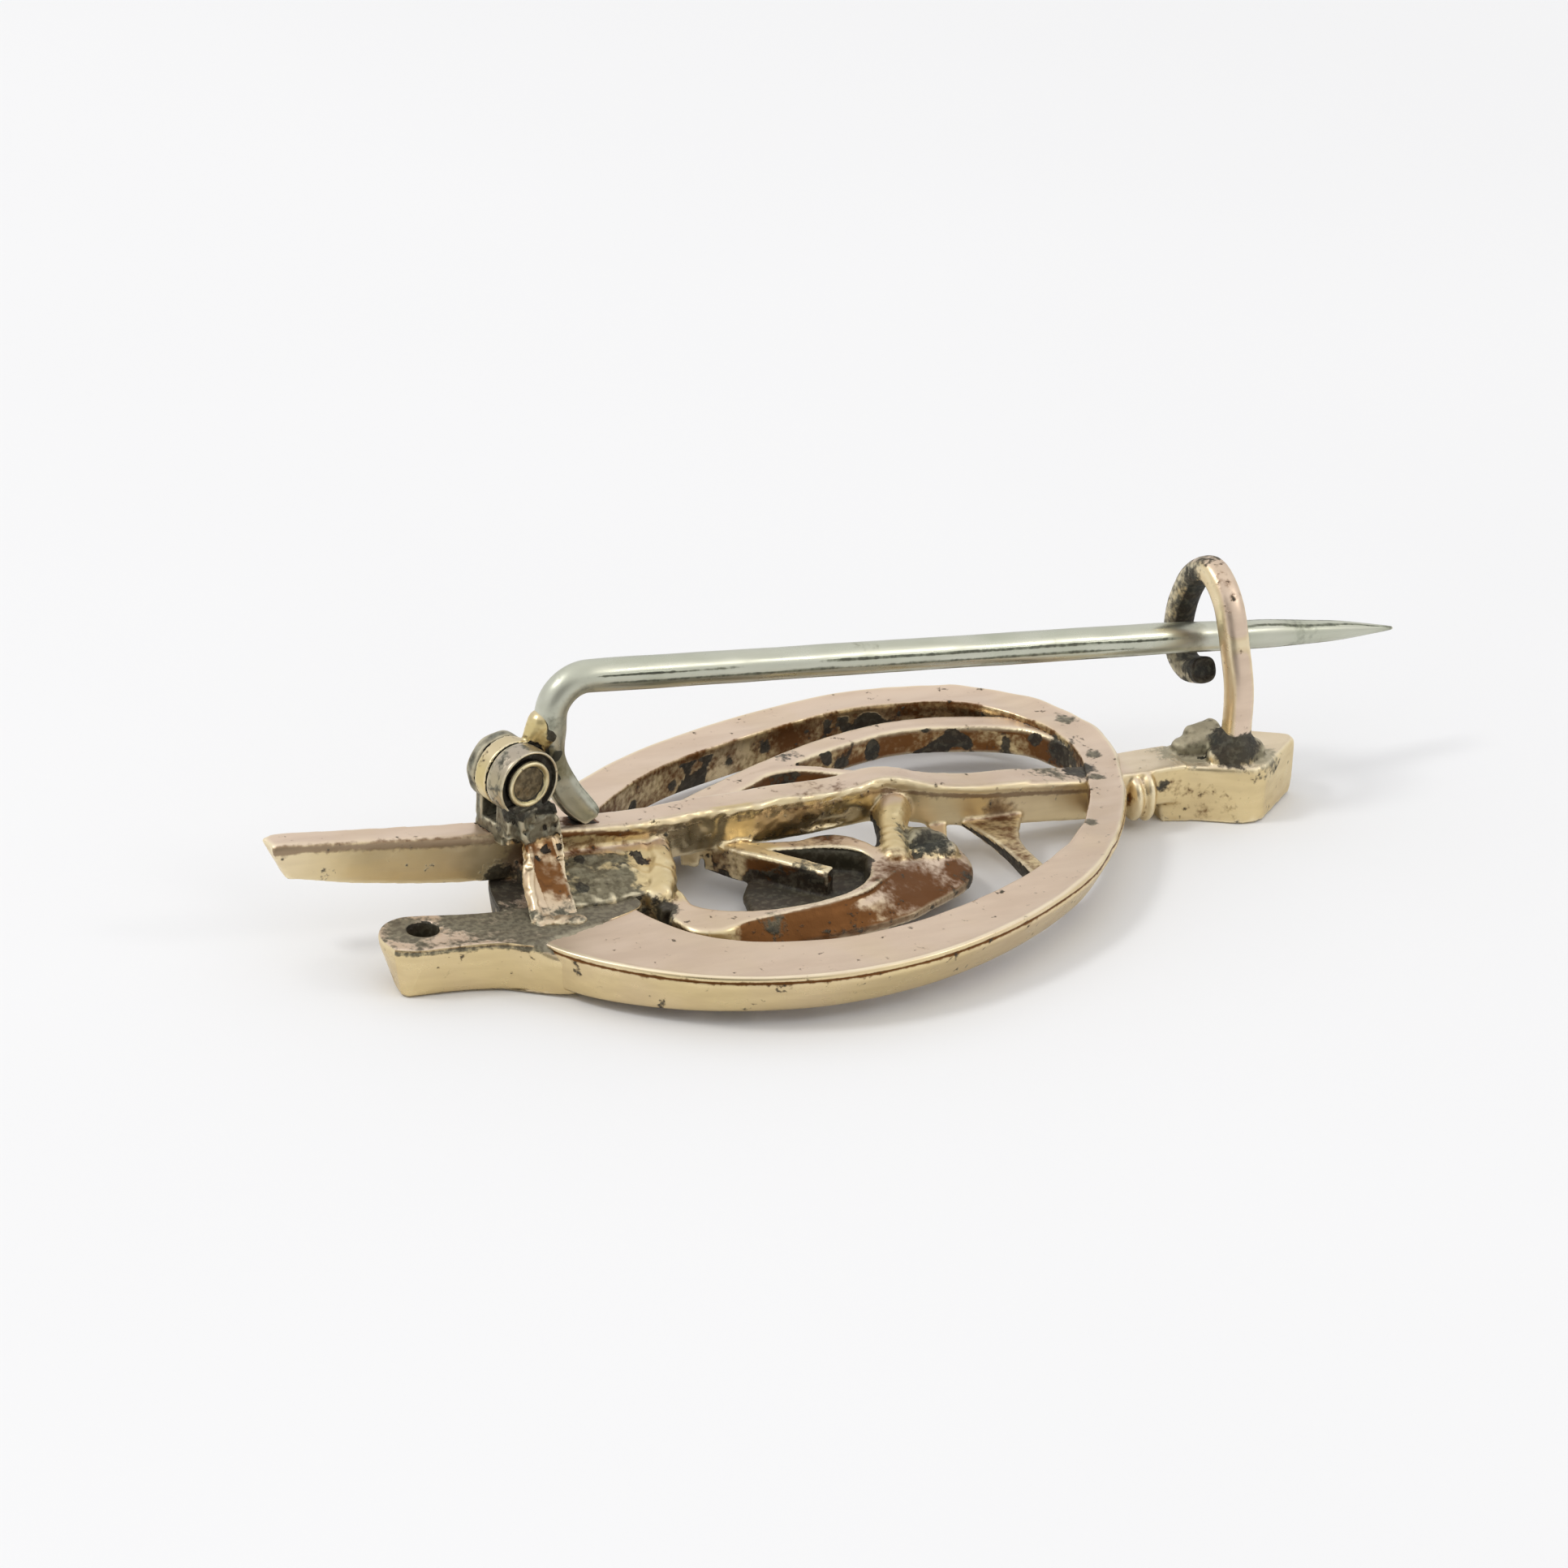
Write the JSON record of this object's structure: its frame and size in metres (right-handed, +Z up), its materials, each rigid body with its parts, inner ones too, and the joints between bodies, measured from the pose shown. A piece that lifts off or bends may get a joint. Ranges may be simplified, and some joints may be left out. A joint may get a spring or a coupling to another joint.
{
  "type": "seed pearl brooch",
  "caption": "Oval crescent bar brooch lying face down: soldered gold frame with inner scroll, hinged pin, wire hook catch and graduated seed pearls on its front.",
  "frame": {"origin": "middle of the bounding box at the floor the brooch lies on, face down", "axes": "+X along the bar from the hinge end to the catch end, +Y away from the viewer, +Z up, from the pearl front to the pin"},
  "size_m": [0.0362, 0.0164, 0.0076],
  "materials": {
    "gold": "satin, worn, with brown and grey tarnish in the corners",
    "hinge_metal": "tarnished, greenish grey",
    "rivet_metal": "pale, worn",
    "pin_metal": "polished along its length, greenish grey",
    "pearl": "pearl lustre"
  },
  "bodies": {
    "brooch": {"frame": "gold", "hinge_bracket": "hinge_metal", "hinge_rivet": "rivet_metal", "pearls": "pearl"},
    "swing_pin": {"pin": "pin_metal"}
  },
  "joints": [
    {"name": "pin_swing", "type": "hinge", "parent": "brooch", "child": "swing_pin", "pos_m": [-0.01138, 0.00032, 0.00471], "axis": [0.2419, -0.9703, 0.0038], "range_deg": [0, 100]}
  ]
}
